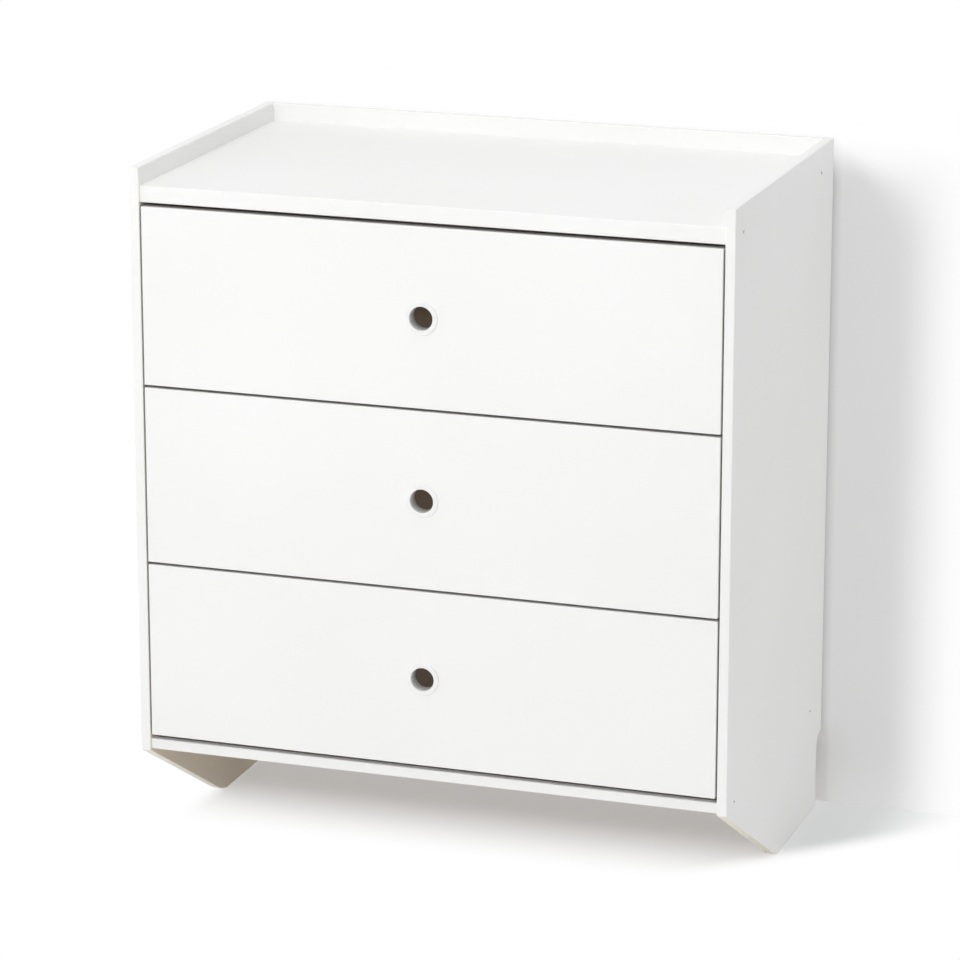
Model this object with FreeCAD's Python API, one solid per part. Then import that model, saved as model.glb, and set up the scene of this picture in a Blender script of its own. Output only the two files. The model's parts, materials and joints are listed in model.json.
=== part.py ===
"""Changing dresser: two side panels that are also the feet, a tray top, and three drawers on roller runners.

Millimetres. X runs to the right, Y from the front to the wall, Z up. The origin is on the floor, in the
middle of the width and of the overall depth. The drawers are closed.
"""
import FreeCAD, Part
import math
import os
from FreeCAD import Vector

# ---------------------------------------------------------------- overall sizes
width = 800.0                 # over the two side panels
depth = 476.0                 # side panels, front edge to wall edge
height = 922.0                # top edge of the side panels
drawer_names = ("upper", "middle", "lower")

# ---------------------------------------------------------------- carcass boards
side_thickness = 13.0
tray_depth = 24.4             # side panels and rear rim stand this much above the changing surface
top_thickness = 21.6
bottom_thickness = 14.0
bottom_clearance = 141.4      # floor to the underside of the bottom panel
shelf_recess = 5.0            # front edges of the top and bottom panels behind the side panels
rim_thickness = 10.0
rim_wall_gap = 0.5            # back of the rear rim and wall rail, short of the wall
rail_thickness = 16.0
rail_height = 72.0
back_thickness = 3.0
back_inset = 11.0             # back face of the back panel, in front of the wall
groove_depth = 6.0
groove_play = 0.2             # free space round a board in its groove
board_edge = 0.8              # bevel that takes the sharpness off a lacquered board's edge

# ---------------------------------------------------------------- feet
foot_front_height = 140.4     # floor to the side panels' lower front corner
toe_setback = 249.6           # where the sloping front edge would meet the floor
toe_radius = 75.0
skirting_height = 102.0
skirting_depth = 23.0         # depth of the recess, and radius of its cove

# ---------------------------------------------------------------- drawer fronts and finger rings
front_thickness = 16.0
front_recess = 0.0            # drawer fronts behind the side panels' front edges
front_side_gap = 2.4
front_gap = 3.6               # between two fronts
front_top_gap = 4.5           # between the top panel and the upper front
front_bottom_gap = 7.1        # between the lower front and the bottom panel
finger_offset = -6.0          # finger holes from the middle of the width
finger_radius = 15.4
ring_wall = 1.7
ring_flange_radius = 21.8
ring_proud = 2.2
ring_rim_height = 1.3         # the flange's height at its outer rim
ring_lip = 1.0                # bevel that leads into the hole
ring_play = 0.1

# ---------------------------------------------------------------- drawer boxes
runner_gap = 12.5             # between a side panel and a drawer box
box_thickness = 12.0
box_rise = 14.0               # lower edge of the drawer sides above the lower edge of the front
box_drop = 30.0               # upper edge of the drawer sides below the upper edge of the front
box_rear_gap = 32.0           # drawer box to wall rail
box_edge = 1.5                # bevel along the upper edges of the drawer sides and back
base_thickness = 4.0
base_height = 12.0            # underside of the base above the drawer sides' lower edge
base_groove_depth = 5.0

# ---------------------------------------------------------------- runners
sheet = 1.2                   # thickness of the folded steel
track_width = 10.5
track_lip = 3.5
track_setback = 19.0          # front end of the cabinet runner behind the side panels' front edge
runner_base = 4.0             # cabinet runner above the lower edge of the drawer front
rail_reach = 3.0              # edge of the drawer runner's rolling flange from the side panel
rail_lip = 1.6                # turned-down edge of that flange
shoe_width = 12.0             # flange under the drawer side
front_roller_radius = 8.5
front_roller_inset = 14.0     # front roller axis behind the cabinet runner's front end
front_roller_clearance = 3.0  # under the front roller
flange_gap = 3.2              # rolling flange to the track's upper flange
roll_gap = 0.2                # running gap between a roller and what it rolls on
track_play = 0.4              # free space above the rear roller
roller_width = 5.5
roller_gap = 0.5              # beside a roller, to the nearest fold
rear_inset = 21.4             # rear roller axis in front of the drawer box's rear end
overlap = 73.1                # between front and rear roller axes when a drawer is fully out
pin_radius = 2.5
pin_play = 0.06
pin_head_radius = 3.6
pin_head = 0.6
pin_end_play = 0.2            # between a roller and the head of its pin
rail_end = 8.0                # drawer runner beyond its rear roller's axis
stop_play = 0.6
stop_drop = 2.4               # how far the stop tab hangs below the track's upper flange

# ---------------------------------------------------------------- fasteners
bolt_front_inset = 36.0       # side panel bolts, from the front edge
bolt_rear_inset = 62.0        # side panel bolts, from the wall edge
bolt_length = 50.0
bolt_radius = 2.5
bolt_shoulder_radius = 3.5    # the thick part that fills the side panel
bolt_socket = 3.0             # across the flats
bolt_socket_depth = 2.2
dowel_radius = 3.0
dowel_length = 30.0
dowel_cover = 3.0             # board left beyond a dowel in a side panel
fit = 0.1                     # free space round a fastener in its hole
wall_hole_radius = 3.0
wall_hole_inset = 67.0        # from the wall rail's ends

# ---------------------------------------------------------------- places worked out from the sizes
ring_overhang = ring_proud - front_recess
front_y = -(depth - ring_overhang) / 2
wall_y = front_y + depth
half_width = width / 2
half_inside = half_width - side_thickness
surface_z = height - tray_depth
top_under_z = surface_z - top_thickness
floor_panel_z = bottom_clearance + bottom_thickness
shelf_front_y = front_y + shelf_recess
rim_back_y = wall_y - rim_wall_gap
rim_front_y = rim_back_y - rim_thickness
rail_front_y = rim_back_y - rail_thickness
rail_z = top_under_z - rail_height
back_back_y = wall_y - back_inset
back_front_y = back_back_y - back_thickness
top_bolt_z = surface_z - top_thickness / 2
bottom_bolt_z = bottom_clearance + bottom_thickness / 2
bolt_places_y = (front_y + bolt_front_inset, wall_y - bolt_rear_inset)

front_face_y = front_y + front_recess
front_back_y = front_face_y + front_thickness
fronts_height = top_under_z - front_top_gap - floor_panel_z - front_bottom_gap
front_height = (fronts_height - (len(drawer_names) - 1) * front_gap) / len(drawer_names)
half_front = half_inside - front_side_gap
half_box = half_inside - runner_gap
box_end_y = rail_front_y - box_rear_gap
box_side_height = front_height - box_rise - box_drop

rail_flange_z = sheet + front_roller_clearance + 2 * front_roller_radius + roll_gap
track_height = rail_flange_z + sheet + flange_gap + sheet
rear_roller_radius = (track_height - 2 * sheet - roll_gap - track_play) / 2
front_roller_z = rail_flange_z - roll_gap - front_roller_radius
rear_roller_z = sheet + roll_gap + rear_roller_radius
front_roller_u = rail_reach + sheet + roller_gap
rear_roller_u = track_width - sheet - roller_gap - roller_width
web_u = runner_gap - sheet
track_start_y = front_y + track_setback
front_axis_y = track_start_y + front_roller_inset
rear_axis_y = box_end_y - rear_inset
travel = rear_axis_y - front_axis_y - overlap
track_end_y = rear_axis_y + rear_roller_radius + stop_play + sheet
stop_z = track_height - sheet - stop_drop
stop_reach = math.sqrt(rear_roller_radius ** 2 - (stop_z - rear_roller_z) ** 2)
stop_y = rear_axis_y - travel - stop_reach - stop_play

X = Vector(1, 0, 0)
Y = Vector(0, 1, 0)
Z = Vector(0, 0, 1)


# ---------------------------------------------------------------- helpers
def box(x0, x1, y0, y1, z0, z1):
    """A square-edged board between two corners."""
    return Part.makeBox(x1 - x0, y1 - y0, z1 - z0, Vector(x0, y0, z0))


def rod(radius, length, start, direction):
    return Part.makeCylinder(radius, length, start, direction)


def prism(outline, y0, y1):
    """An outline of (distance from the right side panel, height) points, drawn out along Y."""
    corners = [Vector(half_inside - u, y0, z) for u, z in outline]
    return Part.Face(Part.makePolygon(corners + corners[:1])).extrude(Vector(0, y1 - y0, 0))


def is_at(value, place):
    return abs(value - place) < 1e-6


def mirrored(shape):
    """The left-hand piece for a right-hand one."""
    return shape.mirror(Vector(0, 0, 0), X)


def both_sides(shapes):
    return shapes + [mirrored(shape) for shape in shapes]


def cut(shape, tools):
    return shape.cut(Part.makeCompound(tools))


def edges_of(shape, chosen):
    """The edges for which chosen(bounding box) is true."""
    return [edge for edge in shape.Edges if chosen(edge.BoundBox)]


def save(name, shapes):
    """Write one node: a piece, or a group of identical fasteners."""
    solids = [solid for shape in shapes for solid in shape.Solids]
    whole = solids[0] if len(solids) == 1 else Part.makeCompound(solids)
    whole.exportStep("parts/" + name + ".step")


# ---------------------------------------------------------------- fasteners
def panel_bolt(y, z):
    """A shouldered socket bolt through the right side panel into the end of the top or bottom panel."""
    head = Vector(half_width, y, z)
    shank = rod(bolt_radius, bolt_length - side_thickness, head - X * side_thickness, -X)
    bolt = rod(bolt_shoulder_radius, side_thickness, head, -X).fuse(shank)
    corner = bolt_socket / math.sqrt(3)
    hexagon = [head + Vector(0, corner * math.cos(k * math.pi / 3), corner * math.sin(k * math.pi / 3))
               for k in range(7)]
    return bolt.cut(Part.Face(Part.makePolygon(hexagon)).extrude(X * -bolt_socket_depth))


def panel_bolt_hole(y, z):
    head = Vector(half_width, y, z)
    return rod(bolt_shoulder_radius + fit, side_thickness, head, -X).fuse(
        rod(bolt_radius + fit, bolt_length + fit, head, -X))


def panel_bolts(make):
    """Bolts, or with the other function their holes, at both ends of the top and bottom panels."""
    return both_sides([make(y, z) for z in (top_bolt_z, bottom_bolt_z) for y in bolt_places_y])


def dowels(extra=0.0):
    """Dowels between the side panels and the ends of the rear rim and the wall rail."""
    places = [((rim_front_y + rim_back_y) / 2, (top_under_z + height) / 2),
              ((rail_front_y + rim_back_y) / 2, rail_z + rail_height / 2)]
    return both_sides([rod(dowel_radius + extra, dowel_length + 2 * extra,
                           Vector(half_width - dowel_cover + extra, y, z), -X) for y, z in places])


# ---------------------------------------------------------------- carcass
def side_outline():
    """The side panel's edge: square above, with the sloping foot and the skirting recess below."""
    slope = math.atan2(foot_front_height, toe_setback)
    reach = toe_radius * math.tan(slope / 2)
    heel = depth - skirting_depth
    cove_rise = skirting_depth * (1 - math.sqrt(0.5))

    def at(y, z):
        return Vector(half_inside, front_y + y, z)

    front_top = at(0, height)
    front_bottom = at(0, foot_front_height)
    toe_start = at(toe_setback - reach * math.cos(slope), reach * math.sin(slope))
    toe_middle = at(toe_setback + reach - toe_radius * math.sin(slope / 2),
                    toe_radius * (1 - math.cos(slope / 2)))
    toe_end = at(toe_setback + reach, 0)
    heel_bottom = at(heel, 0)
    cove_start = at(heel, skirting_height - skirting_depth)
    cove_middle = at(heel + cove_rise, skirting_height - cove_rise)
    cove_end = at(depth, skirting_height)
    rear_top = at(depth, height)
    return Part.Wire([
        Part.makeLine(front_top, front_bottom), Part.makeLine(front_bottom, toe_start),
        Part.Arc(toe_start, toe_middle, toe_end).toShape(), Part.makeLine(toe_end, heel_bottom),
        Part.makeLine(heel_bottom, cove_start), Part.Arc(cove_start, cove_middle, cove_end).toShape(),
        Part.makeLine(cove_end, rear_top), Part.makeLine(rear_top, front_top)])


def side_panel():
    """The right side panel, with the groove for the back panel."""
    panel = Part.Face(side_outline()).extrude(X * side_thickness)
    panel = panel.makeChamfer(board_edge, edges_of(panel, lambda b: b.XLength < 1e-6))
    groove = box(half_inside, half_inside + groove_depth, back_front_y - groove_play,
                 back_back_y + groove_play, bottom_clearance, rail_z + groove_depth)
    return cut(panel, [groove] + panel_bolts(panel_bolt_hole) + dowels(fit))


def shelf(rear_y, under_z, upper_z):
    """A board between the side panels, with its upper and lower front edges bevelled."""
    board = box(-half_inside, half_inside, shelf_front_y, rear_y, under_z, upper_z)
    front_edges = edges_of(board, lambda b: is_at(b.YMax, shelf_front_y) and b.XLength > 1)
    board = board.makeChamfer(board_edge, front_edges)
    return cut(board, panel_bolts(panel_bolt_hole))


def rear_rim():
    """The upstand behind the changing surface, which also covers the top panel's rear edge."""
    board = box(-half_inside, half_inside, rim_front_y, rim_back_y, top_under_z, height)
    board = board.makeChamfer(board_edge, edges_of(board, lambda b: is_at(b.ZMin, height) and b.XLength > 1))
    return cut(board, dowels(fit))


def wall_rail():
    """The board under the top through which the dresser is screwed to the wall."""
    board = box(-half_inside, half_inside, rail_front_y, rim_back_y, rail_z, top_under_z)
    groove = box(-half_inside, half_inside, back_front_y - groove_play, back_back_y + groove_play,
                 rail_z, rail_z + groove_depth)
    hole = rod(wall_hole_radius, rail_thickness,
               Vector(half_inside - wall_hole_inset, rail_front_y, rail_z + rail_height / 2), Y)
    return cut(board, [groove] + both_sides([hole]) + dowels(fit))


def back_panel():
    half = half_inside + groove_depth - groove_play
    return box(-half, half, back_front_y, back_back_y, bottom_clearance, rail_z + groove_depth - groove_play)


# ---------------------------------------------------------------- runners
def pin(base_u, head_u, y, z):
    """A riveted roller pin with its head, along the distance u from the right side panel."""
    toward_head = X if head_u < base_u else -X
    shank = rod(pin_radius, abs(head_u - base_u), Vector(half_inside - base_u, y, z), toward_head)
    return shank.fuse(rod(pin_head_radius, pin_head, Vector(half_inside - head_u, y, z), toward_head))


def cabinet_runner(z):
    """The right-hand track with its front roller pin, the stop tab and the folded rear end."""
    upper = z + track_height - sheet
    outline = [(0, z), (track_width, z), (track_width, z + track_lip), (track_width - sheet, z + track_lip),
               (track_width - sheet, z + sheet), (sheet, z + sheet), (sheet, z + track_height),
               (0, z + track_height)]
    track = prism(outline, track_start_y, track_end_y)
    flange = prism([(0, upper), (track_width, upper), (track_width, upper + sheet), (0, upper + sheet)],
                   stop_y - sheet, track_end_y)
    tab_u = rear_roller_u
    tab_end_u = tab_u + roller_width
    tab = prism([(tab_u, z + stop_z), (tab_end_u, z + stop_z), (tab_end_u, upper), (tab_u, upper)],
                stop_y - sheet, stop_y)
    end_u = track_width - 2 * sheet
    end = prism([(sheet, z + sheet), (end_u, z + sheet), (end_u, upper), (sheet, upper)],
                track_end_y - sheet, track_end_y)
    folded = track.fuse([flange, tab, end]).removeSplitter()
    head_u = front_roller_u + roller_width + pin_end_play
    return folded.fuse(pin(sheet, head_u, front_axis_y, z + front_roller_z))


def drawer_runner(z):
    """The right-hand rail under a drawer side: shoe, web and rolling flange, with its rear roller pin."""
    shoe_z = z + box_rise - runner_base
    under = z + rail_flange_z
    over = under + sheet
    shoe_end_u = runner_gap + shoe_width
    rail = prism([(web_u, shoe_z - sheet), (shoe_end_u, shoe_z - sheet), (shoe_end_u, shoe_z),
                  (runner_gap, shoe_z), (runner_gap, over), (web_u, over)],
                 front_back_y, rear_axis_y + rail_end)
    lip_u = rail_reach + sheet
    flange = prism([(rail_reach, under - rail_lip), (lip_u, under - rail_lip), (lip_u, under), (web_u, under),
                    (web_u, over), (rail_reach, over)],
                   front_back_y, rear_axis_y - rear_roller_radius - sheet)
    folded = rail.fuse(flange).removeSplitter()
    return folded.fuse(pin(web_u, rear_roller_u - pin_end_play, rear_axis_y, z + rear_roller_z))


def roller(u, radius, y, z):
    """A right-hand roller on its pin."""
    start = Vector(half_inside - u, y, z)
    return rod(radius, roller_width, start, -X).cut(rod(pin_radius + pin_play, roller_width, start, -X))


# ---------------------------------------------------------------- drawers
def finger_ring(z):
    """The liner of a finger hole: a bevelled flange on the front and a sleeve through the board."""
    sleeve = finger_radius + ring_wall
    crown_y = front_face_y - ring_proud
    profile = [(finger_radius, crown_y + ring_lip), (finger_radius + ring_lip, crown_y),
               (ring_flange_radius, front_face_y - ring_rim_height), (ring_flange_radius, front_face_y),
               (sleeve, front_face_y), (sleeve, front_back_y), (finger_radius, front_back_y)]
    points = [Vector(finger_offset + radius, y, z) for radius, y in profile]
    return Part.Face(Part.makePolygon(points + points[:1])).revolve(Vector(finger_offset, 0, z), Y, 360)


def drawer_base(z, play=0.0):
    """The drawer base, or with play the groove it sits in; z is the drawer sides' lower edge."""
    half = half_box - box_thickness + base_groove_depth - groove_play + play
    start = front_back_y - base_groove_depth + groove_play - play
    under = z + base_height
    return box(-half, half, start, box_end_y + play, under - play, under + base_thickness + play)


def drawer_front(front_z, z):
    board = box(-half_front, half_front, front_face_y, front_back_y, front_z, front_z + front_height)
    board = board.makeChamfer(board_edge, board.Edges)
    middle = Vector(finger_offset, front_face_y, front_z + front_height / 2)
    hole = rod(finger_radius + ring_wall + ring_play, front_thickness, middle, Y)
    return cut(board, [hole, drawer_base(z, groove_play)])


def drawer_side(z):
    """The right-hand drawer side."""
    top = z + box_side_height
    board = box(half_box - box_thickness, half_box, front_back_y, box_end_y, z, top)
    board = board.makeChamfer(box_edge, edges_of(board, lambda b: is_at(b.ZMin, top) and b.YLength > 1))
    return cut(board, [drawer_base(z, groove_play)])


def drawer_back(z):
    half = half_box - box_thickness
    top = z + box_side_height
    board = box(-half, half, box_end_y - box_thickness, box_end_y,
                z + base_height + base_thickness + groove_play, top)
    return board.makeChamfer(box_edge, edges_of(board, lambda b: is_at(b.ZMin, top) and b.XLength > 1))


def save_drawer(name, front_z):
    """Write one drawer, its box, its ring and its two pairs of runners with their rollers."""
    z = front_z + box_rise
    runner_z = front_z + runner_base
    side = drawer_side(z)
    rail = drawer_runner(runner_z)
    track = cabinet_runner(runner_z)
    front_roller = roller(front_roller_u, front_roller_radius, front_axis_y, runner_z + front_roller_z)
    rear_roller = roller(rear_roller_u, rear_roller_radius, rear_axis_y, runner_z + rear_roller_z)
    save(name + "_drawer_front", [drawer_front(front_z, z)])
    save(name + "_finger_ring", [finger_ring(front_z + front_height / 2)])
    save(name + "_drawer_right_side", [side])
    save(name + "_drawer_left_side", [mirrored(side)])
    save(name + "_drawer_back", [drawer_back(z)])
    save(name + "_drawer_base", [drawer_base(z)])
    save(name + "_drawer_right_runner", [rail])
    save(name + "_drawer_left_runner", [mirrored(rail)])
    save(name + "_rear_rollers", both_sides([rear_roller]))
    save(name + "_cabinet_right_runner", [track])
    save(name + "_cabinet_left_runner", [mirrored(track)])
    save(name + "_front_rollers", both_sides([front_roller]))


# ---------------------------------------------------------------- the dresser
os.makedirs("parts", exist_ok=True)
right_side = side_panel()
save("right_side_panel", [right_side])
save("left_side_panel", [mirrored(right_side)])
save("top_panel", [shelf(rim_front_y, top_under_z, surface_z)])
save("bottom_panel", [shelf(back_front_y, bottom_clearance, floor_panel_z)])
save("rear_rim", [rear_rim()])
save("wall_rail", [wall_rail()])
save("back_panel", [back_panel()])
save("panel_bolts", panel_bolts(panel_bolt))
save("dowels", dowels())
for place, drawer_name in enumerate(reversed(drawer_names)):
    save_drawer(drawer_name, floor_panel_z + front_bottom_gap + place * (front_height + front_gap))
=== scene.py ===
"""Looks of the changing dresser: finishes, heads of small fasteners, studio and camera.

Metres. X runs to the right, Y from the front to the wall, Z up. The origin is on the floor, in the middle of
the width and of the overall depth.
"""
import json
import math

import bmesh
import bpy
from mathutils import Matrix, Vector


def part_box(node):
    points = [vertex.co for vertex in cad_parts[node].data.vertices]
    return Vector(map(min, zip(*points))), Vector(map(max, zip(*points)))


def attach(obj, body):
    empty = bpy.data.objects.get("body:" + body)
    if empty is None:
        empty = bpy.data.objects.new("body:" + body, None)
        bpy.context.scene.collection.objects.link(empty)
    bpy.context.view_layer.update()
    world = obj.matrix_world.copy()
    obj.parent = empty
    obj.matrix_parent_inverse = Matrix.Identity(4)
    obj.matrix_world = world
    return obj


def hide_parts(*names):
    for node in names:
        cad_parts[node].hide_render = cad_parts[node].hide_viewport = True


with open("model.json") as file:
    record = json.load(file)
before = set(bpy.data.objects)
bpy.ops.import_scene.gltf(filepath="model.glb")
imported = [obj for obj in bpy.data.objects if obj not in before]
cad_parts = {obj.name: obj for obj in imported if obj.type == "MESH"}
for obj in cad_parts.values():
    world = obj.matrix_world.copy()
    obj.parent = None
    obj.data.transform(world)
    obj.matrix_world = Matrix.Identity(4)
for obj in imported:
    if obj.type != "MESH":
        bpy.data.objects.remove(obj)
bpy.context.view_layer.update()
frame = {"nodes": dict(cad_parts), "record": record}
side_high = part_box("right_side_panel")[1]
front_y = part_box("upper_drawer_front")[0].y

X = Vector((1, 0, 0))
Y = Vector((0, 1, 0))
Z = Vector((0, 0, 1))
MM = 0.001
DRAWERS = ("upper", "middle", "lower")
SIDES = {"left": -1, "right": 1}


# ---------------------------------------------------------------- shader helpers
class Finish:
    """A procedural material: a principled shader with noise-driven colour, roughness and relief."""

    def __init__(self, name, **uniform):
        self.material = bpy.data.materials.new(name)
        self.material.use_nodes = True
        self.tree = self.material.node_tree
        self.shader = self.tree.nodes["Principled BSDF"]
        self.coords = self.add("ShaderNodeTexCoord")
        self.place = self.coords.outputs["Object"]
        self.normal = None
        for socket, value in uniform.items():
            self.shader.inputs[socket.replace("_", " ")].default_value = value

    def add(self, kind, **settings):
        node = self.tree.nodes.new(kind)
        for setting, value in settings.items():
            setattr(node, setting, value)
        return node

    def link(self, output, socket):
        self.tree.links.new(output, socket)

    def stretched(self, x, y, z):
        """Object coordinates scaled along each axis."""
        mapping = self.add("ShaderNodeMapping")
        mapping.inputs["Scale"].default_value = (x, y, z)
        self.link(self.place, mapping.inputs["Vector"])
        return mapping.outputs["Vector"]

    def noise(self, per_metre, detail=2.0, rough=0.5, place=None, distortion=0.0):
        node = self.add("ShaderNodeTexNoise")
        node.inputs["Scale"].default_value = per_metre
        node.inputs["Detail"].default_value = detail
        node.inputs["Roughness"].default_value = rough
        node.inputs["Distortion"].default_value = distortion
        self.link(place or self.place, node.inputs["Vector"])
        return node.outputs["Fac"]

    def ramp(self, value, low, high, to_low=0.0, to_high=1.0):
        node = self.add("ShaderNodeMapRange")
        for socket, number in zip(node.inputs[1:5], (low, high, to_low, to_high)):
            socket.default_value = number
        self.link(value, node.inputs["Value"])
        return node.outputs["Result"]

    def math(self, operation, a, b):
        node = self.add("ShaderNodeMath", operation=operation)
        for socket, value in zip(node.inputs, (a, b)):
            if isinstance(value, (int, float)):
                socket.default_value = value
            else:
                self.link(value, socket)
        return node.outputs["Value"]

    def axis(self, place, name):
        node = self.add("ShaderNodeSeparateXYZ")
        self.link(place, node.inputs["Vector"])
        return node.outputs[name]

    def mix(self, share, a, b):
        """A colour between a and b; each is a colour or another colour's output."""
        node = self.add("ShaderNodeMix", data_type="RGBA")
        self.link(share, node.inputs["Factor"])
        sockets = [s for s in node.inputs if s.type == "RGBA"]
        for socket, value in zip(sockets, (a, b)):
            if isinstance(value, tuple):
                socket.default_value = (*value, 1.0)
            else:
                self.link(value, socket)
        return next(s for s in node.outputs if s.type == "RGBA")

    def relief(self, height, depth):
        """Add a bump of that depth, in metres, over the ones added before."""
        node = self.add("ShaderNodeBump")
        node.inputs["Distance"].default_value = depth
        self.link(height, node.inputs["Height"])
        if self.normal:
            self.link(self.normal, node.inputs["Normal"])
        self.normal = node.outputs["Normal"]
        self.link(self.normal, self.shader.inputs["Normal"])

    def colour(self, output):
        self.link(output, self.shader.inputs["Base Color"])

    def roughness(self, output):
        self.link(output, self.shader.inputs["Roughness"])


# ---------------------------------------------------------------- finishes
WHITE_LOW, WHITE_HIGH = (0.872, 0.872, 0.864), (0.892, 0.892, 0.886)
# raw brown board on the bottom panel's underside, and on its upper face behind the setback, where it is also
# painted shade
RAW_AND_SHADE_DARK, RAW_AND_SHADE_PALE = (0.34, 0.215, 0.11), (0.48, 0.325, 0.185)
# painted shade on the edges of the drawer fronts, for the dark gaps between them
EDGE_SHADE = (0.46, 0.45, 0.43)
EDGE_START, EDGE_FULL = 1.5 * MM, 7 * MM      # behind a front's face, where the painted shade on its edges starts and is full
THIN_COAT = (0.885, 0.84, 0.725)
# painted shade inside the finger-hole liners
SLEEVE_SHADE = (0.64, 0.63, 0.61)
SLEEVE_START, SLEEVE_FULL = 1 * MM, 10 * MM   # behind a front's face, where the painted shade inside a finger hole's liner starts and is full
RAW_SHADE_SETBACK = 9 * MM                          # from the bottom panel's front edge to its raw brown upper face, which is also painted shade under the lowest drawer
INNER_DROP = 8 * MM                           # from the changing surface down to the thinly coated inner faces
FINE_GRAIN = 0.003 * MM
NOISE_RANGE = (0.3, 0.7)                      # the span of a noise texture that a ramp spreads out


def lacquer(name, raw=None, deep=None, thin=None):
    """Satin white lacquer on fibreboard, with a faint orange peel.

    raw is the Y behind which a board is left raw on its upper and lower face; the raw brown on the upper face is
    also painted shade. deep is the front face's Y of a board whose edges carry painted shade behind it. thin is the
    Z below which a side panel's inner face is thinly coated, as the slopes of its foot are.
    """
    finish = Finish(name, IOR=1.5)
    cloud = finish.noise(3.0, detail=1.0)
    colour = finish.mix(finish.ramp(cloud, 0.35, 0.65), WHITE_LOW, WHITE_HIGH)
    rough = finish.ramp(finish.noise(60.0), *NOISE_RANGE, 0.42, 0.5)
    facing = finish.coords.outputs["Normal"]
    behind = finish.axis(finish.place, "Y")
    if raw is not None:
        upward = finish.axis(facing, "Z")
        flat = finish.ramp(finish.math("ABSOLUTE", upward, 0.0), 0.85, 0.95)
        under = finish.ramp(upward, -0.85, -0.95)
        # the raw brown upper face behind raw is painted shade as well as raw board
        inside = finish.math("MAXIMUM", under, finish.ramp(behind, raw, raw + 3 * MM))
        share = finish.math("MULTIPLY", flat, inside)
        fibre = finish.ramp(finish.noise(220.0, detail=5.0, rough=0.7), *NOISE_RANGE)
        colour = finish.mix(share, colour, finish.mix(fibre, RAW_AND_SHADE_DARK, RAW_AND_SHADE_PALE))
        rough = finish.math("MAXIMUM", rough, finish.math("MULTIPLY", share, 0.8))
    # painted shade: behind a front's face its edges turn grey, where the gaps between fronts lie in shade
    if deep is not None:
        edge = finish.ramp(finish.math("ABSOLUTE", finish.axis(facing, "Y"), 0.0), 0.6, 0.4)
        share = finish.math("MULTIPLY", edge, finish.ramp(behind, deep + EDGE_START, deep + EDGE_FULL))
        colour = finish.mix(share, colour, EDGE_SHADE)
    if thin is not None:
        width = finish.math("ABSOLUTE", finish.axis(finish.place, "X"), 0.0)
        sideways = finish.ramp(finish.math("ABSOLUTE", finish.axis(facing, "X"), 0.0), 0.8, 0.9)
        within = finish.ramp(width, side_high.x - 0.3 * MM, side_high.x - 1 * MM)
        below = finish.ramp(finish.axis(finish.place, "Z"), thin, thin - 2 * MM)
        inner = finish.math("MULTIPLY", finish.math("MULTIPLY", sideways, within), below)
        share = finish.math("MAXIMUM", inner, finish.ramp(finish.axis(facing, "Z"), -0.3, -0.5))
        colour = finish.mix(share, colour, THIN_COAT)
    finish.colour(colour)
    finish.roughness(rough)
    finish.relief(finish.noise(420.0, detail=1.0), 0.012 * MM)
    finish.relief(finish.noise(2600.0, detail=1.0), FINE_GRAIN)
    return finish.material


def foil():
    """Matt white foil on the drawer boards, with a fine pressed grain along the board."""
    finish = Finish("white_foil", IOR=1.48)
    grain = finish.noise(1.0, detail=3.0, place=finish.stretched(900.0, 90.0, 900.0))
    finish.colour(finish.mix(finish.ramp(grain, *NOISE_RANGE), (0.79, 0.79, 0.78), (0.83, 0.83, 0.82)))
    finish.roughness(finish.ramp(grain, *NOISE_RANGE, 0.5, 0.62))
    finish.relief(grain, 0.02 * MM)
    return finish.material


def hardboard():
    """Brown hardboard with a fibrous, flecked face."""
    finish = Finish("brown_hardboard", IOR=1.45)
    fibre = finish.noise(160.0, detail=6.0, rough=0.7, distortion=1.2)
    fleck = finish.noise(1400.0, detail=2.0)
    dark, mid, pale = (0.16, 0.105, 0.07), (0.24, 0.165, 0.11), (0.34, 0.25, 0.175)
    body = finish.mix(finish.ramp(fibre, *NOISE_RANGE), dark, mid)
    finish.colour(finish.mix(finish.ramp(fleck, 0.58, 0.75), body, pale))
    finish.roughness(finish.ramp(fibre, *NOISE_RANGE, 0.62, 0.8))
    finish.relief(fibre, 0.05 * MM)
    return finish.material


def beech():
    """Dowel wood with its grain along X."""
    finish = Finish("beech_dowel", IOR=1.45, Roughness=0.6)
    grain = finish.noise(1.0, detail=4.0, place=finish.stretched(60.0, 1500.0, 1500.0))
    finish.colour(finish.mix(finish.ramp(grain, *NOISE_RANGE), (0.52, 0.34, 0.19), (0.66, 0.47, 0.29)))
    finish.relief(grain, 0.05 * MM)
    return finish.material


def moulded(name, pale, dark, low_rough, high_rough, deep=None):
    """Moulded plastic with a fine eroded surface; behind the Y deep it darkens, as painted shade inside a finger
    hole.
    """
    finish = Finish(name, IOR=1.46)
    cloud = finish.noise(90.0, detail=2.0)
    colour = finish.mix(finish.ramp(cloud, *NOISE_RANGE), dark, pale)
    if deep is not None:
        # painted shade: the liner's sleeve darkens with depth into the hole
        share = finish.ramp(finish.axis(finish.place, "Y"), deep + SLEEVE_START, deep + SLEEVE_FULL)
        colour = finish.mix(share, colour, SLEEVE_SHADE)
    finish.colour(colour)
    finish.roughness(finish.ramp(finish.noise(700.0), *NOISE_RANGE, low_rough, high_rough))
    finish.relief(finish.noise(3200.0, detail=1.0), 0.006 * MM)
    return finish.material


def powder_coat():
    """White powder coat on folded steel, with a fine orange peel."""
    finish = Finish("white_powder_coat", IOR=1.5)
    cloud = finish.noise(40.0, detail=2.0)
    finish.colour(finish.mix(finish.ramp(cloud, *NOISE_RANGE), (0.75, 0.75, 0.735), (0.80, 0.80, 0.79)))
    finish.roughness(finish.ramp(finish.noise(300.0), *NOISE_RANGE, 0.3, 0.42))
    finish.relief(finish.noise(1100.0, detail=1.0), 0.02 * MM)
    return finish.material


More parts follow.
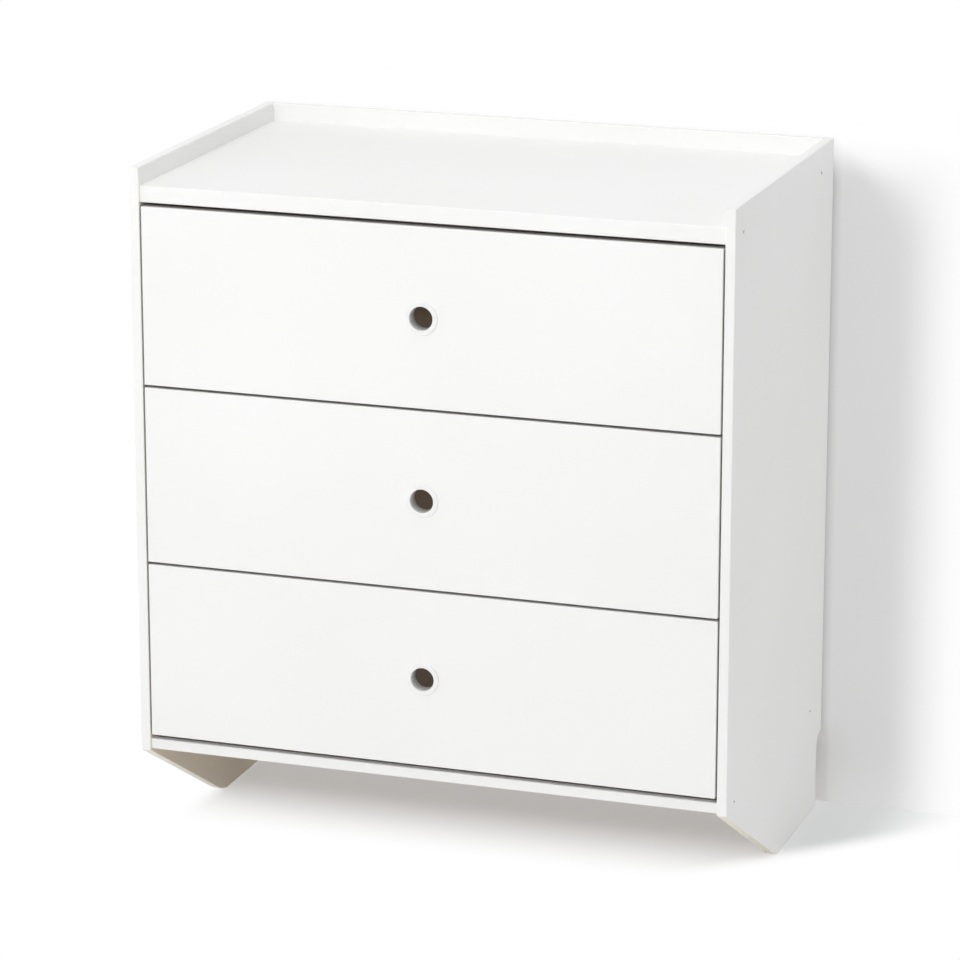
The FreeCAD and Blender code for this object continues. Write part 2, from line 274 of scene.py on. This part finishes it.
def enamelled_bolt(face_x):
    """White head; inside the socket and along the shank, unpainted steel darkened to near-black as painted shade:
    white only at the outer face.
    """
    finish = Finish("enamelled_steel", IOR=1.5, Roughness=0.4)
    outward = finish.math("ABSOLUTE", finish.axis(finish.place, "X"), 0.0)
    painted = finish.ramp(outward, face_x - 0.12 * MM, face_x - 0.02 * MM)
    speck = finish.ramp(finish.noise(900.0), *NOISE_RANGE)
    # painted shade: the unpainted steel in the socket is near-black, darker than such steel is
    bare_steel_and_shade = finish.mix(speck, (0.012, 0.012, 0.011), (0.03, 0.03, 0.028))
    white = finish.mix(speck, (0.8, 0.8, 0.79), (0.85, 0.85, 0.84))
    finish.colour(finish.mix(painted, bare_steel_and_shade, white))
    finish.relief(finish.noise(1500.0), 0.01 * MM)
    return finish.material


def zinc():
    """Zinc plating with its fine crystalline mottle."""
    finish = Finish("zinc_plate", Metallic=1.0)
    crystal = finish.noise(700.0, detail=3.0, rough=0.6)
    finish.colour(finish.mix(finish.ramp(crystal, *NOISE_RANGE), (0.55, 0.55, 0.53), (0.74, 0.74, 0.73)))
    finish.roughness(finish.ramp(crystal, *NOISE_RANGE, 0.28, 0.45))
    finish.relief(finish.noise(2400.0), 0.01 * MM)
    return finish.material


def recess():
    """The shaded floor of a cross recess."""
    finish = Finish("recess_shade", Metallic=0.6, Roughness=0.7)
    finish.colour(finish.mix(finish.noise(1500.0), (0.03, 0.03, 0.03), (0.07, 0.07, 0.068)))
    return finish.material


finishes = {
    "white_board": lacquer("white_lacquer"),
    "drawer_board": foil(),
    "hardboard": hardboard(),
    "beech": beech(),
    "white_plastic": moulded("white_plastic", (0.865, 0.865, 0.858), (0.845, 0.845, 0.837), 0.36, 0.46,
                             deep=front_y),
    "roller_plastic": moulded("roller_plastic", (0.70, 0.71, 0.72), (0.62, 0.63, 0.64), 0.4, 0.55),
    "white_runner_steel": powder_coat(),
    "white_steel": enamelled_bolt(side_high.x),
}
zinc_plate = zinc()
recess_shade = recess()
side_finish = lacquer("white_lacquer_side", thin=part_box("top_panel")[1].z - INNER_DROP)
front_finish = lacquer("white_lacquer_front_edge_shade", deep=front_y)
own_finish = {
    "bottom_panel": lacquer("white_lacquer_raw_below", raw=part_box("bottom_panel")[0].y + RAW_SHADE_SETBACK),
    "left_side_panel": side_finish,
    "right_side_panel": side_finish,
    **{drawer + "_drawer_front": front_finish for drawer in DRAWERS},
}

for subpart in frame["record"]["subparts"]:
    slots = frame["nodes"][subpart["node"]].data.materials
    slots.clear()
    slots.append(own_finish.get(subpart["node"], finishes[subpart["material_slot"]]))


# ---------------------------------------------------------------- mesh helpers
MERGE_DISTANCE = 1e-7
SHARP_ANGLE = math.radians(38)
HEAD_SEGMENTS = 32


def turned(mesh, profile, centre, axis, segments):
    """Add a turned form; profile is a closed loop of (distance along the axis, radius) points."""
    turn = axis.to_track_quat("Z", "X").to_matrix()
    rings = []
    for step in range(segments):
        angle = math.tau * step / segments
        across = Vector((math.cos(angle), math.sin(angle), 0))
        rings.append([mesh.verts.new(centre + turn @ (across * radius + Z * along))
                      for along, radius in profile])
    for ring, following in zip(rings, rings[1:] + rings[:1]):
        for a, b in zip(range(len(profile)), [*range(1, len(profile)), 0]):
            mesh.faces.new((ring[a], ring[b], following[b], following[a]))


def arc(centre_along, centre_radius, radius, start, end, steps=6):
    """Profile points round a corner, from one angle to another; angle 0 points away from the axis."""
    angles = [math.radians(start + (end - start) * k / steps) for k in range(steps + 1)]
    return [(centre_along + radius * math.sin(a), centre_radius + radius * math.cos(a)) for a in angles]


def cross_head(mesh, centre, axis, radius, proud, arm, width):
    """Add a low head with a cross recess. Faces of the recess floor get the second material."""
    turn = axis.to_track_quat("Z", "X").to_matrix()
    edge = proud * 0.6      # chamfer round the head
    floor = proud * 0.2     # height of the recess floor

    def ring(points, height):
        return [mesh.verts.new(centre + turn @ Vector((x, y, height))) for x, y in points]

    def circle(size):
        angles = [math.tau * k / HEAD_SEGMENTS for k in range(HEAD_SEGMENTS)]
        return [(size * math.cos(angle), size * math.sin(angle)) for angle in angles]

    half = width / 2
    corner = [(arm, -half), (arm, half), (half, half)]
    cross = []
    for quarter in range(4):
        cosine, sine = (1, 0, -1, 0)[quarter], (0, 1, 0, -1)[quarter]
        cross += [(cosine * x - sine * y, sine * x + cosine * y) for x, y in corner]
    base = ring(circle(radius), 0.0)
    rim = ring(circle(radius), proud - edge)
    top = ring(circle(radius - edge), proud)
    lip = ring(cross, proud)
    pit = ring(cross, floor)
    for lower, upper in ((base, rim), (rim, top), (pit, lip)):
        for k in range(len(lower)):
            after = (k + 1) % len(lower)
            mesh.faces.new((lower[k], lower[after], upper[after], upper[k]))
    mesh.faces.new(reversed(base))
    mesh.faces.new(pit).material_index = 1
    edges = [mesh.edges.get(pair) for loop in (top, lip) for pair in zip(loop, loop[1:] + loop[:1])]
    bmesh.ops.triangle_fill(mesh, use_beauty=True, edges=edges)


def piece(name, mesh, materials, body, stands_for=()):
    """Finish a mesh as a named piece that rides on a body."""
    bmesh.ops.remove_doubles(mesh, verts=mesh.verts, dist=MERGE_DISTANCE)
    bmesh.ops.recalc_face_normals(mesh, faces=mesh.faces)
    data = bpy.data.meshes.new(name)
    mesh.to_mesh(data)
    mesh.free()
    for material in materials:
        data.materials.append(material)
    data.shade_smooth()
    data.set_sharp_from_angle(angle=SHARP_ANGLE)
    made = bpy.data.objects.new(name, data)
    bpy.context.scene.collection.objects.link(made)
    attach(made, body)
    if stands_for:
        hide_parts(*stands_for)


# ---------------------------------------------------------------- finger rings
RING_BORE = 15.4 * MM
RING_SLEEVE = 17.1 * MM    # outer radius of the sleeve
RING_LIP = 1.0 * MM
RING_EDGE = 0.9 * MM
RING_DOME = 0.25 * MM      # how much the flange falls from its inner to its outer edge
RING_SEGMENTS = 96


def finger_ring(drawer):
    """The moulded liner of a finger hole: domed flange, rounded lip and sleeve."""
    node = drawer + "_finger_ring"
    low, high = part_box(node)
    face_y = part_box(drawer + "_drawer_front")[0].y
    centre = Vector(((low.x + high.x) / 2, face_y, (low.z + high.z) / 2))
    flange = (high.x - low.x) / 2
    proud = face_y - low.y
    depth = high.y - face_y
    profile = [(-depth, RING_SLEEVE), (-depth, RING_BORE + RING_LIP / 4), (RING_LIP / 4 - depth, RING_BORE)]
    profile += arc(proud - RING_LIP, RING_BORE + RING_LIP, RING_LIP, 180, 90)
    profile += arc(proud - RING_DOME - RING_EDGE, flange - RING_EDGE, RING_EDGE, 90, 0)
    profile += [(0.0, flange), (0.0, RING_SLEEVE)]
    mesh = bmesh.new()
    turned(mesh, profile, centre, -Y, RING_SEGMENTS)
    piece(drawer + "_finger_liner", mesh, [finishes["white_plastic"]], drawer + "_drawer",
          [node])


# ---------------------------------------------------------------- rollers
ROLLER_WIDTH = 5.5 * MM
ROLLER_BORE = 2.56 * MM
ROLLER_HUB = 4.3 * MM
ROLLER_EDGE = 0.5 * MM
ROLLER_RIM = 2.2 * MM      # thickness of the tyre outside the dished web
ROLLER_DISH = 1.3 * MM     # depth of the dished web
ROLLER_SLOPE = 0.3 * MM    # how far the dish's sides lean
ROLLER_SEGMENTS = 48


def rollers(drawer, place, body):
    """A pair of moulded rollers with hub, dished web and rounded tyre."""
    node = f"{drawer}_{place}_rollers"
    low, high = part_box(node)
    radius = (high.z - low.z) / 2
    pin = Vector((0, (low.y + high.y) / 2, (low.z + high.z) / 2))
    width = ROLLER_WIDTH
    hub_foot = ROLLER_HUB + ROLLER_SLOPE
    rim = radius - ROLLER_RIM
    rim_foot = rim - ROLLER_SLOPE
    tyre = radius - ROLLER_EDGE
    mesh = bmesh.new()
    for sign in SIDES.values():
        centre = Vector((high.x * sign, pin.y, pin.z))
        profile = [(0.0, ROLLER_BORE), (0.0, ROLLER_HUB), (ROLLER_DISH, hub_foot), (ROLLER_DISH, rim_foot),
                   (0.0, rim)]
        profile += arc(ROLLER_EDGE, tyre, ROLLER_EDGE, -90, 0, 3)
        profile += arc(width - ROLLER_EDGE, tyre, ROLLER_EDGE, 0, 90, 3)
        profile += [(width, rim), (width - ROLLER_DISH, rim_foot), (width - ROLLER_DISH, hub_foot),
                    (width, ROLLER_HUB), (width, ROLLER_BORE)]
        turned(mesh, profile, centre, X * -sign, ROLLER_SEGMENTS)
    piece(f"{drawer}_{place}_roller_pair", mesh, [finishes["roller_plastic"]], body, [node])


# ---------------------------------------------------------------- heads of screws, nails and cams
SHEET = 1.2 * MM
HEAD_PROUD = 0.25 * MM
SCREW_HEAD = 3.4 * MM
SCREW_ARM = 2.0 * MM
SCREW_SLOT = 0.8 * MM
RUNNER_SCREW_Y = (45 * MM, 300 * MM)      # from the front end of each runner
TRACK_SCREW_RISE = 13.4 * MM              # above the track's lower face
BACK_SCREW_INSET = 45 * MM                # from the drawer side's upper and lower edges
BOX_THICKNESS = 12 * MM
CAM_RADIUS = 6.0 * MM
CAM_ARM = 3.4 * MM
CAM_SLOT = 1.3 * MM
CAM_SETBACK = 24 * MM
CAM_INSET = 42 * MM
RIM_SCREW_X = (-300 * MM, 0.0, 300 * MM)
NAIL_X = (-330 * MM, -165 * MM, 0.0, 165 * MM, 330 * MM)
NAIL_HEAD = 2.2 * MM
NAIL_PROUD = 0.5 * MM
NAIL_SEGMENTS = 24


def screw_heads(name, places, axis_for, body, radius=SCREW_HEAD, arm=SCREW_ARM, width=SCREW_SLOT):
    """One piece with a cross-recessed head at each place; axis_for gives the way each head faces."""
    mesh = bmesh.new()
    for place in places:
        cross_head(mesh, place, axis_for(place), radius, HEAD_PROUD, arm, width)
    piece(name, mesh, [zinc_plate, recess_shade], body)


def outward(place):
    return X if place.x > 0 else -X


def inward(place):
    return -outward(place)


def drawer_fasteners(drawer):
    """Heads of the runner screws, back screws and front cams on the outside of a drawer box."""
    body = drawer + "_drawer"
    low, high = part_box(drawer + "_drawer_right_side")
    rail_low, rail_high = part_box(drawer + "_drawer_right_runner")
    web = Vector((high.x + SHEET, rail_low.y, (rail_low.z + rail_high.z) / 2))
    runner, back, cam = [], [], []
    for sign in SIDES.values():
        runner += [Vector((sign * web.x, web.y + y, web.z)) for y in RUNNER_SCREW_Y]
        for z in (low.z + BACK_SCREW_INSET, high.z - BACK_SCREW_INSET):
            back.append(Vector((sign * high.x, high.y - BOX_THICKNESS / 2, z)))
        for z in (low.z + CAM_INSET, high.z - CAM_INSET):
            cam.append(Vector((sign * high.x, low.y + CAM_SETBACK, z)))
    screw_heads(drawer + "_drawer_runner_screws", runner, outward, body)
    screw_heads(drawer + "_drawer_back_screws", back, outward, body)
    screw_heads(drawer + "_drawer_cams", cam, outward, body, CAM_RADIUS, CAM_ARM, CAM_SLOT)


def track_screws(drawer):
    """Heads of the screws through the webs of the cabinet runners."""
    low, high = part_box(drawer + "_cabinet_right_runner")
    places = [Vector((sign * (high.x - SHEET), low.y + y, low.z + TRACK_SCREW_RISE))
              for sign in SIDES.values() for y in RUNNER_SCREW_Y]
    screw_heads(drawer + "_cabinet_runner_screws", places, inward, "root")


def rim_screws():
    """Heads of the screws through the rear rim into the rear edge of the top panel."""
    rim_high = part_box("rear_rim")[1]
    top_low, top_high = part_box("top_panel")
    places = [Vector((x, rim_high.y, (top_low.z + top_high.z) / 2)) for x in RIM_SCREW_X]
    screw_heads("rim_screws", places, lambda place: Y, "root")


def back_nails():
    """Heads of the nails through the back panel into the rear edge of the bottom panel."""
    back_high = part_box("back_panel")[1]
    bottom_low, bottom_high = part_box("bottom_panel")
    mesh = bmesh.new()
    crown = arc(0.0, NAIL_HEAD * 0.6, NAIL_PROUD, 0, 90, 4)
    profile = [(0.0, 0.0), (0.0, NAIL_HEAD), *crown, (NAIL_PROUD, 0.0)]
    for x in NAIL_X:
        centre = Vector((x, back_high.y, (bottom_low.z + bottom_high.z) / 2))
        turned(mesh, profile, centre, Y, NAIL_SEGMENTS)
    piece("back_panel_nails", mesh, [zinc_plate], "root")


for drawer in DRAWERS:
    finger_ring(drawer)
    rollers(drawer, "front", drawer + "_front_rollers")
    rollers(drawer, "rear", drawer + "_rear_rollers")
    drawer_fasteners(drawer)
    track_screws(drawer)
rim_screws()
back_nails()


# ---------------------------------------------------------------- studio
WALL_GAP = 0.3 * MM        # wall plane behind the side panels' rear edges
STUDIO_SIZE = 14.0
RIGHT, DEEP, UP = (1, 0, 0), (0, 1, 0), (0, 0, 1)
# Fades of a backdrop's shading, set for the photograph's view: direction, where along it the shading
# starts and is full, in metres, and what is left of it before the start.
FLOOR_FADES = (
    (DEEP, -0.13, 0.085, 0.0),
    (RIGHT, -0.42, -0.38, 0.0),
    (RIGHT, 0.62, 0.48, 0.0),
    ((-1, 1, 0), -0.43, -0.35, 0.0),
    (RIGHT, 0.36, 0.43, 0.68),
)
WALL_FADES = (
    (RIGHT, -0.42, -0.38, 0.0),
    (RIGHT, 0.61, 0.49, 0.0),
    (UP, 0.93, 0.86, 0.0),
    (UP, -0.01, 0.09, 0.86),
)
FLOOR_TONE = (0.858, 0.864, 0.869)
FLOOR_BOUNCE = (0.88, 0.88, 0.88, 1.0)     # the floor's colour for light that it throws back at the object
WALL_TONE = (0.945, 0.945, 0.945)
CONTACT_REACH = 0.013      # width of the painted shade line on the wall beside the side panel
# how dark the painted shade line is right at the side panel
CONTACT_SHADE = 0.66
CONTACT_FOOT = (0.15, 0.09, 0.0, 0.93)     # the heights between which that line fades out, and by how much
SKY = 0.59                 # even light from all round
LIGHTS = {                 # place, way it shines, diameter, watts
    "key": ((-0.457, -3.237, 1.603), (136, 476, -108), 0.65, 32.5),
    "overhead": ((0.0, -0.3, 3.2), (0, 0, -1), 3.0, 24.0),
    "left": ((-3.2, -0.3, 1.2), (1, 0, 0), 2.0, 24.0),
    "right_rear": ((1.7, 0.7, 0.8), (-1, -0.25, 0), 0.8, 2.6),
}
INSIDE_PLACE = (-0.11, 0.055)              # faint glow on a drawer's base, where a finger hole shows it
INSIDE_RISE = 0.08
INSIDE_SIZE = 0.25
INSIDE_WATTS = 0.065
CAMERA_PLACE = Vector((1.763, -5.171, 2.013))
CAMERA_PITCH = 15.65       # degrees below the horizon
CAMERA_YAW = 18.92         # degrees to the left of straight ahead
CAMERA_LENS = 161.4
SENSOR_WIDTH = 36.0
CLIP_END = 50.0
WHITE = (1.0, 1.0, 1.0, 1.0)


def join(tree, kind, *links, **settings):
    """Add a node to a tree, set it, and link outputs, or plain values, to its first sockets."""
    node = tree.nodes.new(kind)
    for setting, value in settings.items():
        setattr(node, setting, value)
    for socket, value in zip(node.inputs, links):
        if isinstance(value, bpy.types.NodeSocket):
            tree.links.new(value, socket)
        elif value is not None:
            socket.default_value = value
    return node


def seen_straight_or_mirrored(tree):
    path = tree.nodes.new("ShaderNodeLightPath")
    return join(tree, "ShaderNodeMath", path.outputs["Is Camera Ray"], path.outputs["Is Glossy Ray"],
                operation="MAXIMUM").outputs[0]


def backdrop_material(name, tone, fades, one_sided):
    """White to the camera, and shaded near the object, by the fades.

    One-sided, it is a wall: clear from behind and to the light, with a line of painted shade where the side panel
    meets it.
    """
    material = bpy.data.materials.new(name)
    material.use_nodes = True
    tree = material.node_tree
    tree.nodes.clear()
    white = join(tree, "ShaderNodeEmission", WHITE, 1.0).outputs[0]
    clear = join(tree, "ShaderNodeBsdfTransparent").outputs[0]
    place = tree.nodes.new("ShaderNodeTexCoord").outputs["Object"]

    def ramp(way, *limits, style="SMOOTHSTEP"):
        along = join(tree, "ShaderNodeVectorMath", place, way, operation="DOT_PRODUCT").outputs["Value"]
        return join(tree, "ShaderNodeMapRange", along, *limits, interpolation_type=style).outputs[0]

    def reckon(operation, *values):
        return join(tree, "ShaderNodeMath", *values, operation=operation).outputs[0]

    share = 1.0
    for way, start, full, least in fades:
        share = reckon("MULTIPLY", share, ramp(way, start, full, least, 1.0))
    lit = join(tree, "ShaderNodeBsdfDiffuse", (*tone, 1.0))
    if one_sided:
        # painted shade: the wall darkens towards the side panel's outer face
        from_side = ramp(RIGHT, side_high.x, side_high.x + CONTACT_REACH, 0.0, 1.0, style="LINEAR")
        contact = reckon("MULTIPLY_ADD", reckon("SQRT", from_side), 1.0 - CONTACT_SHADE, CONTACT_SHADE)
        shade = reckon("MAXIMUM", contact, ramp(UP, *CONTACT_FOOT))
        shaded = join(tree, "ShaderNodeVectorMath", tone, shade, operation="MULTIPLY").outputs[0]
        tree.links.new(shaded, lit.inputs["Color"])
    other = clear if one_sided else join(tree, "ShaderNodeBsdfDiffuse", FLOOR_BOUNCE).outputs[0]
    shown = join(tree, "ShaderNodeMixShader", share, white, lit.outputs[0]).outputs[0]
    result = join(tree, "ShaderNodeMixShader", seen_straight_or_mirrored(tree), other, shown).outputs[0]
    if one_sided:
        behind = tree.nodes.new("ShaderNodeNewGeometry").outputs["Backfacing"]
        result = join(tree, "ShaderNodeMixShader", behind, result, clear).outputs[0]
    join(tree, "ShaderNodeOutputMaterial", result)
    return material


def backdrop(name, corners, material):
    data = bpy.data.meshes.new(name)
    data.from_pydata(corners, [], [tuple(range(len(corners)))])
    data.materials.append(material)
    made = bpy.data.objects.new(name, data)
    bpy.context.scene.collection.objects.link(made)


def area_light(name, place, way, size, watts):
    lamp = bpy.data.lights.new(name, "AREA")
    lamp.shape = "DISK"
    lamp.size = size
    lamp.energy = watts
    made = bpy.data.objects.new(name, lamp)
    made.location = place
    made.rotation_mode = "QUATERNION"
    made.rotation_quaternion = Vector(way).to_track_quat("-Z", "Y")
    made.visible_camera = False
    bpy.context.scene.collection.objects.link(made)


wall_y = side_high.y + WALL_GAP
half = STUDIO_SIZE / 2
backdrop("studio_floor", [(-half, -half, 0), (half, -half, 0), (half, half, 0), (-half, half, 0)],
         backdrop_material("studio_floor", FLOOR_TONE, FLOOR_FADES, False))
backdrop("studio_wall", [(-half, wall_y, 0), (half, wall_y, 0), (half, wall_y, half), (-half, wall_y, half)],
         backdrop_material("studio_wall", WALL_TONE, WALL_FADES, True))

world = bpy.data.worlds.new("studio")
bpy.context.scene.world = world
world.use_nodes = True
tree = world.node_tree
tree.nodes.clear()
sky = join(tree, "ShaderNodeBackground", WHITE, SKY)
white = join(tree, "ShaderNodeBackground", WHITE, 1.0)
shown = join(tree, "ShaderNodeMixShader", seen_straight_or_mirrored(tree), sky.outputs[0], white.outputs[0])
join(tree, "ShaderNodeOutputWorld", shown.outputs[0])

for name, setting in LIGHTS.items():
    area_light(name, *setting)
for drawer in DRAWERS:
    lamp_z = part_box(drawer + "_drawer_base")[1].z + INSIDE_RISE
    area_light(drawer + "_inside", (*INSIDE_PLACE, lamp_z), (0, 0, -1), INSIDE_SIZE, INSIDE_WATTS)

lens = bpy.data.cameras.new("camera")
lens.lens = CAMERA_LENS
lens.sensor_width = SENSOR_WIDTH
lens.clip_end = CLIP_END
camera = bpy.data.objects.new("camera", lens)
camera.location = CAMERA_PLACE
camera.rotation_euler = (math.radians(90 - CAMERA_PITCH), 0.0, math.radians(CAMERA_YAW))
bpy.context.scene.collection.objects.link(camera)
bpy.context.scene.camera = camera
bpy.context.scene.view_settings.view_transform = "Standard"
